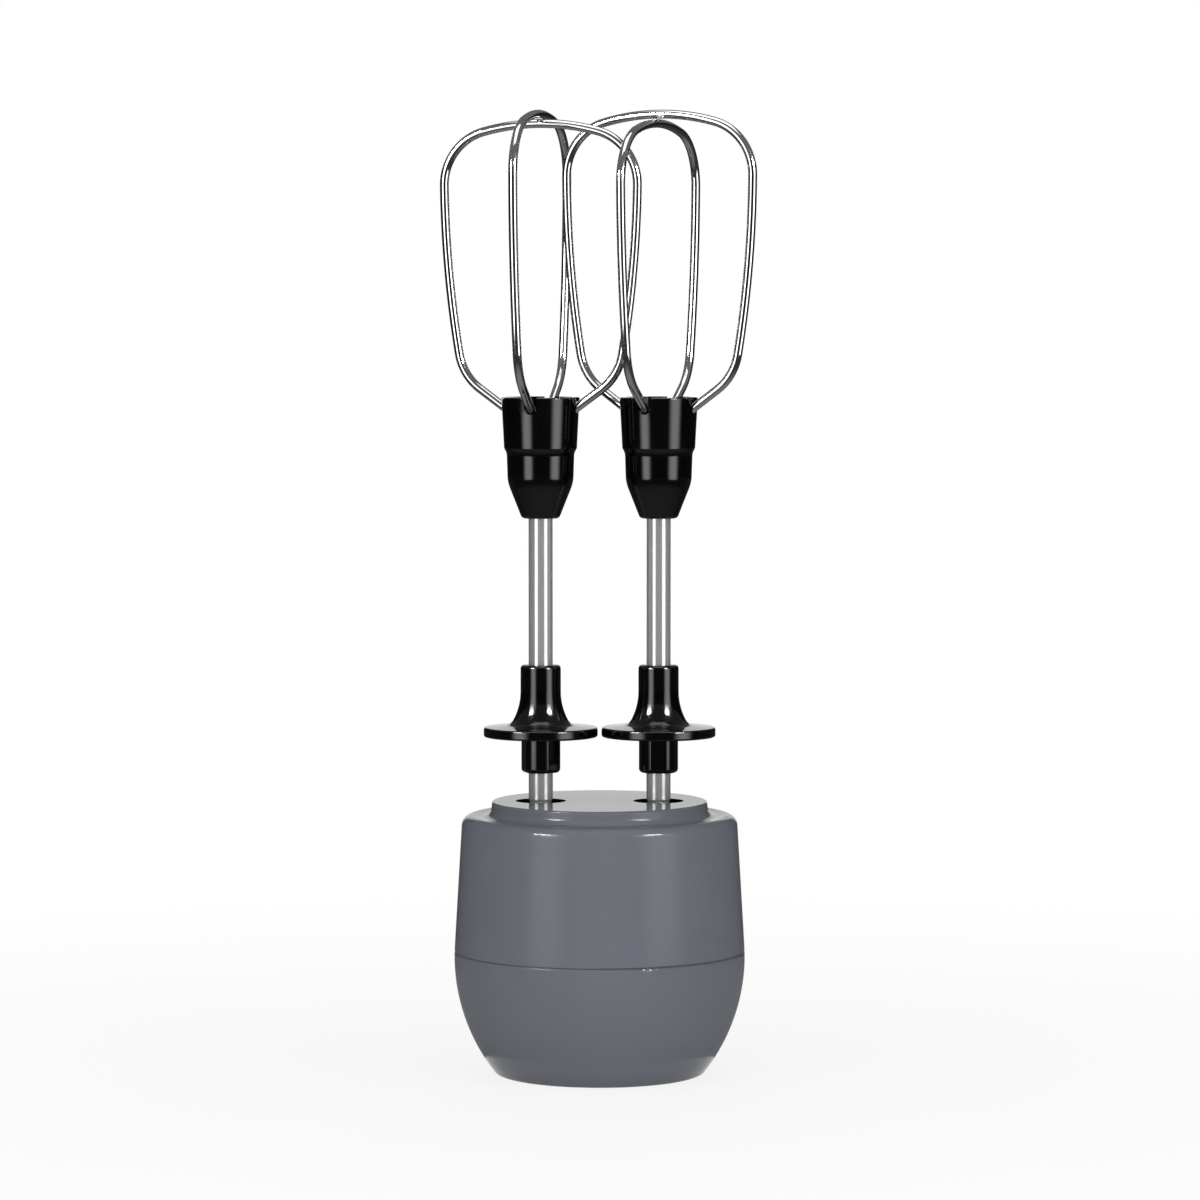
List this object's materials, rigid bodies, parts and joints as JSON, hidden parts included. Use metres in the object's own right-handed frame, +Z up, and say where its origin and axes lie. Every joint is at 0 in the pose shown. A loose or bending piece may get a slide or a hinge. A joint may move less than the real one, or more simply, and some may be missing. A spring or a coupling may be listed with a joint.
{
  "type": "twin-beater mixing attachment",
  "caption": "Grey egg-shaped gearbox that stands on its motor socket, with a pair of pull-out wire beaters geared to turn against each other.",
  "frame": {"origin": "centre of the flat base, on the axis of the motor socket", "axes": "+Z up along the beaters, X through both beater axes, front towards -Y"},
  "size_m": [0.0829, 0.0766, 0.2534],
  "materials": {
    "grey_housing": "polished moulded ABS",
    "black_plastic": "polished moulded nylon",
    "polished_steel": "polished stainless steel",
    "plate_steel": "zinc-plated steel",
    "pinion_steel": "cut steel",
    "bush_bronze": "sintered bronze",
    "gear_nylon": "moulded acetal",
    "seal_rubber": "moulded rubber"
  },
  "bodies": {
    "housing": {"lower_housing": "grey_housing", "upper_housing": "grey_housing", "housing_seal": "seal_rubber", "carrier_plate": "plate_steel", "cover_plate": "plate_steel", "cage_spacers": "plate_steel", "cage_screws": "plate_steel", "input_bush": "bush_bronze", "left_lower_bush": "bush_bronze", "right_lower_bush": "bush_bronze", "left_upper_bush": "bush_bronze", "right_upper_bush": "bush_bronze", "idler_pin": "plate_steel", "idler_washer": "plate_steel"},
    "input": {"drive_coupling": "black_plastic", "input_shaft": "plate_steel", "input_pinion": "pinion_steel", "input_circlip": "plate_steel"},
    "idler": {"idler_gear": "gear_nylon"},
    "left_drive": {"left_spindle": "black_plastic", "left_output_gear": "gear_nylon", "left_gear_circlip": "plate_steel", "left_retaining_spring": "plate_steel"},
    "left_beater": {"left_shaft": "polished_steel", "left_splash_collar": "black_plastic", "left_hub": "black_plastic", "left_over_loop": "polished_steel", "left_under_loop": "polished_steel"},
    "right_drive": {"right_spindle": "black_plastic", "right_output_gear": "gear_nylon", "right_gear_circlip": "plate_steel", "right_retaining_spring": "plate_steel"},
    "right_beater": {"right_shaft": "polished_steel", "right_splash_collar": "black_plastic", "right_hub": "black_plastic", "right_over_loop": "polished_steel", "right_under_loop": "polished_steel"}
  },
  "joints": [
    {"name": "left_spin", "type": "hinge", "parent": "housing", "child": "left_drive", "pos_m": [-0.0155, 0, 0.045], "axis": [0, 0, 1], "continuous": true},
    {"name": "right_spin", "type": "hinge", "parent": "housing", "child": "right_drive", "pos_m": [0.0155, 0, 0.045], "axis": [0, 0, 1], "continuous": true},
    {"name": "idler_spin", "type": "hinge", "parent": "housing", "child": "idler", "pos_m": [-0.00245, 0.01581, 0.03], "axis": [0, 0, 1], "continuous": true},
    {"name": "input_spin", "type": "hinge", "parent": "housing", "child": "input", "pos_m": [0, 0, 0.02], "axis": [0, 0, 1], "continuous": true},
    {"name": "left_beater_slide", "type": "slide", "parent": "left_drive", "child": "left_beater", "axis": [0, 0, 1], "range_m": [-0.0165, 0.018]},
    {"name": "right_beater_slide", "type": "slide", "parent": "right_drive", "child": "right_beater", "axis": [0, 0, 1], "range_m": [-0.0165, 0.018]}
  ],
  "couplings": [
    {"joint": "right_spin", "follows": "left_spin", "ratio": -1},
    {"joint": "idler_spin", "follows": "left_spin", "ratio": -3.1},
    {"joint": "input_spin", "follows": "left_spin", "ratio": 9.3},
    {"joint": "right_beater_slide", "follows": "left_beater_slide", "ratio": 1}
  ]
}
